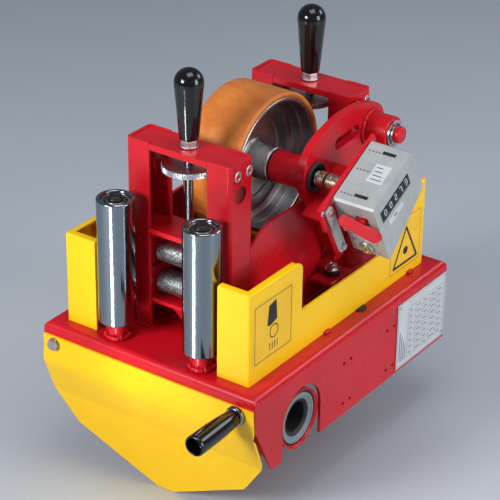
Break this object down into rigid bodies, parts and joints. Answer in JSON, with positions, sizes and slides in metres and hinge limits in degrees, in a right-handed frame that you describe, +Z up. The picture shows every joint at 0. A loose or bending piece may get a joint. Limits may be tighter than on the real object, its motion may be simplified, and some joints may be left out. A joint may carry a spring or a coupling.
{
  "type": "wire rope puller",
  "caption": "Rope feeding and length measuring unit: folded base on a guide sleeve, roller portals, upright rollers, swing arm with measuring drum and counter.",
  "frame": {"origin": "middle of the transverse guide sleeve, on its axis", "axes": "+X along the guide sleeve to the right of someone facing the rope entry, +Y along the rope's travel from the entry rollers to the rear portal, +Z up"},
  "size_m": [0.3486, 0.4886, 0.5172],
  "materials": {
    "red_paint": "gloss",
    "yellow_paint": "satin",
    "grey_plastic": "matt",
    "plate": "satin",
    "rubber": "matt",
    "chrome": "polished",
    "zinc": "zinc plated",
    "black_grip": "gloss",
    "bearing": "satin",
    "ground_steel": "ground",
    "aluminium": "turned",
    "drum_tyre": "satin",
    "brass": "nickel washed",
    "counter_case": "sand cast, painted grey",
    "window": "gloss",
    "lever": "gloss"
  },
  "bodies": {
    "frame": {"base_housing": "red_paint", "guide_sleeve": "red_paint", "left_guide_bush": "grey_plastic", "right_guide_bush": "grey_plastic", "rating_plate": "plate", "stop_bracket": "red_paint", "stop_buffer": "rubber", "front_guard": "yellow_paint", "handle_stud": "chrome", "guard_bolt": "zinc", "left_side_guard": "yellow_paint", "right_side_guard": "yellow_paint", "left_entry_stud": "red_paint", "right_entry_stud": "red_paint", "front_left_post": "red_paint", "front_right_post": "red_paint", "front_top_plate": "red_paint", "front_bearer": "red_paint", "rear_left_post": "red_paint", "rear_right_post": "red_paint", "rear_top_plate": "red_paint", "rear_bearer": "red_paint", "support_frame": "red_paint", "pivot_shaft": "red_paint", "pivot_washer": "zinc"},
    "guard_grip": {"guard_hand_grip": "black_grip"},
    "left_entry": {"left_entry_roller": "chrome", "left_entry_bearing": "bearing"},
    "right_entry": {"right_entry_roller": "chrome", "right_entry_bearing": "bearing"},
    "front_carriage": {"front_carriage": "red_paint"},
    "front_upper_roller": {"front_upper_roller": "ground_steel"},
    "front_lower_roller": {"front_lower_roller": "ground_steel"},
    "front_spindle": {"front_spindle": "chrome", "front_knurled_wheel": "zinc", "front_grip_nut": "zinc", "front_hand_grip": "black_grip"},
    "rear_carriage": {"rear_carriage": "red_paint"},
    "rear_upper_roller": {"rear_upper_roller": "ground_steel"},
    "rear_lower_roller": {"rear_lower_roller": "ground_steel"},
    "rear_spindle": {"rear_spindle": "chrome", "rear_knurled_wheel": "zinc", "rear_grip_nut": "zinc", "rear_hand_grip": "black_grip"},
    "front_support_roller": {"front_support_roller": "ground_steel"},
    "rear_support_roller": {"rear_support_roller": "ground_steel"},
    "swing_arm": {"swing_arm": "red_paint", "shaft_seal": "rubber", "inner_drum_bearing": "bearing", "outer_drum_bearing": "bearing", "counter_bracket": "red_paint", "counter_case": "counter_case", "counter_window": "window", "counter_strap": "zinc"},
    "drum": {"drum_rim": "aluminium", "drum_tyre": "drum_tyre", "drum_shaft": "ground_steel", "shaft_coupling": "brass"},
    "reset_lever": {"reset_lever": "lever"}
  },
  "joints": [
    {"name": "guard_grip_spin", "type": "hinge", "parent": "frame", "child": "guard_grip", "pos_m": [0.1267, -0.13, 0.045], "axis": [0, 1, 0], "continuous": true},
    {"name": "left_entry_spin", "type": "hinge", "parent": "frame", "child": "left_entry", "pos_m": [-0.0595, -0.0676, 0.168], "axis": [0, 0, 1], "continuous": true},
    {"name": "right_entry_spin", "type": "hinge", "parent": "frame", "child": "right_entry", "pos_m": [0.0595, -0.0676, 0.168], "axis": [0, 0, 1], "continuous": true},
    {"name": "front_carriage_slide", "type": "slide", "parent": "frame", "child": "front_carriage", "axis": [0, 0, 1], "range_m": [0, 0.012]},
    {"name": "front_spindle_turn", "type": "hinge", "parent": "front_carriage", "child": "front_spindle", "pos_m": [0, -0.011, 0.28], "axis": [0, 0, -1], "range_deg": [0, 1440]},
    {"name": "front_upper_roller_spin", "type": "hinge", "parent": "front_carriage", "child": "front_upper_roller", "pos_m": [0, -0.011, 0.164], "axis": [1, 0, 0], "continuous": true},
    {"name": "front_lower_roller_spin", "type": "hinge", "parent": "frame", "child": "front_lower_roller", "pos_m": [0, -0.011, 0.125], "axis": [1, 0, 0], "continuous": true},
    {"name": "rear_carriage_slide", "type": "slide", "parent": "frame", "child": "rear_carriage", "axis": [0, 0, 1], "range_m": [0, 0.012]},
    {"name": "rear_spindle_turn", "type": "hinge", "parent": "rear_carriage", "child": "rear_spindle", "pos_m": [0, 0.227, 0.28], "axis": [0, 0, -1], "range_deg": [0, 1440]},
    {"name": "rear_upper_roller_spin", "type": "hinge", "parent": "rear_carriage", "child": "rear_upper_roller", "pos_m": [0, 0.227, 0.164], "axis": [1, 0, 0], "continuous": true},
    {"name": "rear_lower_roller_spin", "type": "hinge", "parent": "frame", "child": "rear_lower_roller", "pos_m": [0, 0.227, 0.125], "axis": [1, 0, 0], "continuous": true},
    {"name": "front_support_roller_spin", "type": "hinge", "parent": "frame", "child": "front_support_roller", "pos_m": [0, 0.055, 0.1183], "axis": [1, 0, 0], "continuous": true},
    {"name": "rear_support_roller_spin", "type": "hinge", "parent": "frame", "child": "rear_support_roller", "pos_m": [0, 0.165, 0.1183], "axis": [1, 0, 0], "continuous": true},
    {"name": "arm_swing", "type": "hinge", "parent": "frame", "child": "swing_arm", "pos_m": [0.088, 0.225, 0.2647], "axis": [-1, 0, 0], "range_deg": [0, 16]},
    {"name": "drum_spin", "type": "hinge", "parent": "swing_arm", "child": "drum", "pos_m": [0, 0.108, 0.2446], "axis": [1, 0, 0], "continuous": true},
    {"name": "reset_lever_press", "type": "hinge", "parent": "swing_arm", "child": "reset_lever", "pos_m": [0.168, 0.10116, 0.2319], "axis": [1, 0, 0], "range_deg": [0, 18], "stiffness_Nm_per_rad": 0.02, "springref_deg": -20.05}
  ],
  "couplings": [
    {"joint": "front_spindle_turn", "follows": "front_carriage_slide", "rad_per_m": 2092.3},
    {"joint": "rear_spindle_turn", "follows": "rear_carriage_slide", "rad_per_m": 2092.3}
  ]
}
